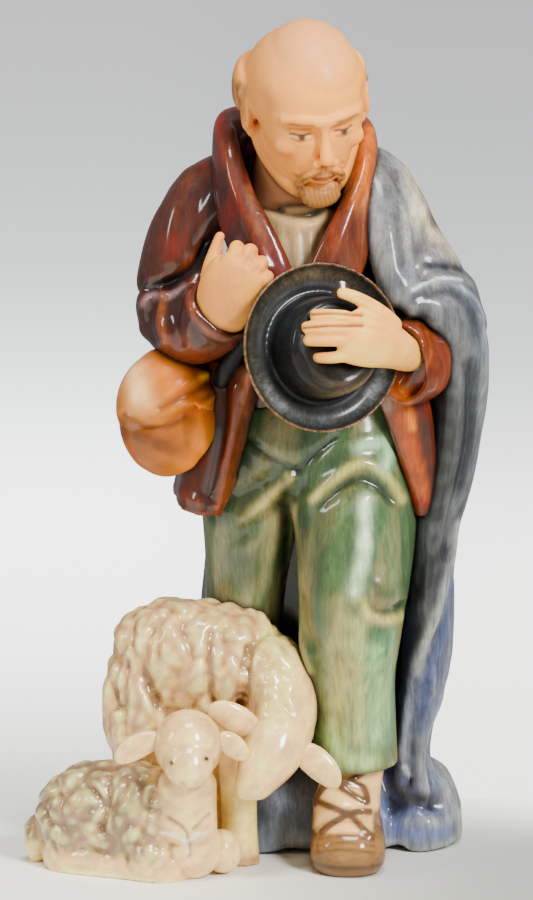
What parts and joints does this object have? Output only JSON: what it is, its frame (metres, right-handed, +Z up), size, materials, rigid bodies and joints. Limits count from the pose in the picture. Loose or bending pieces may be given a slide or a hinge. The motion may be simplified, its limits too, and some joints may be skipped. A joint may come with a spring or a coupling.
{
  "type": "nativity shepherd figurine",
  "caption": "Glazed ceramic nativity shepherd, bareheaded with hat in hand, bag and long cloak, with a standing ewe and a lying lamb.",
  "frame": {"origin": "centre of the bounding box's bottom face, on the surface that the figurine stands on", "axes": "+Z up through the standing figure, -Y the way the shepherd faces, +X to a viewer's right when seen from the front"},
  "size_m": [0.0977, 0.075, 0.1777],
  "materials": {
    "painted_glaze": "glossy clear glaze over hand-painted underglaze colours"
  },
  "bodies": {
    "root": {"shepherd_with_sheep": "painted_glaze"}
  },
  "joints": []
}
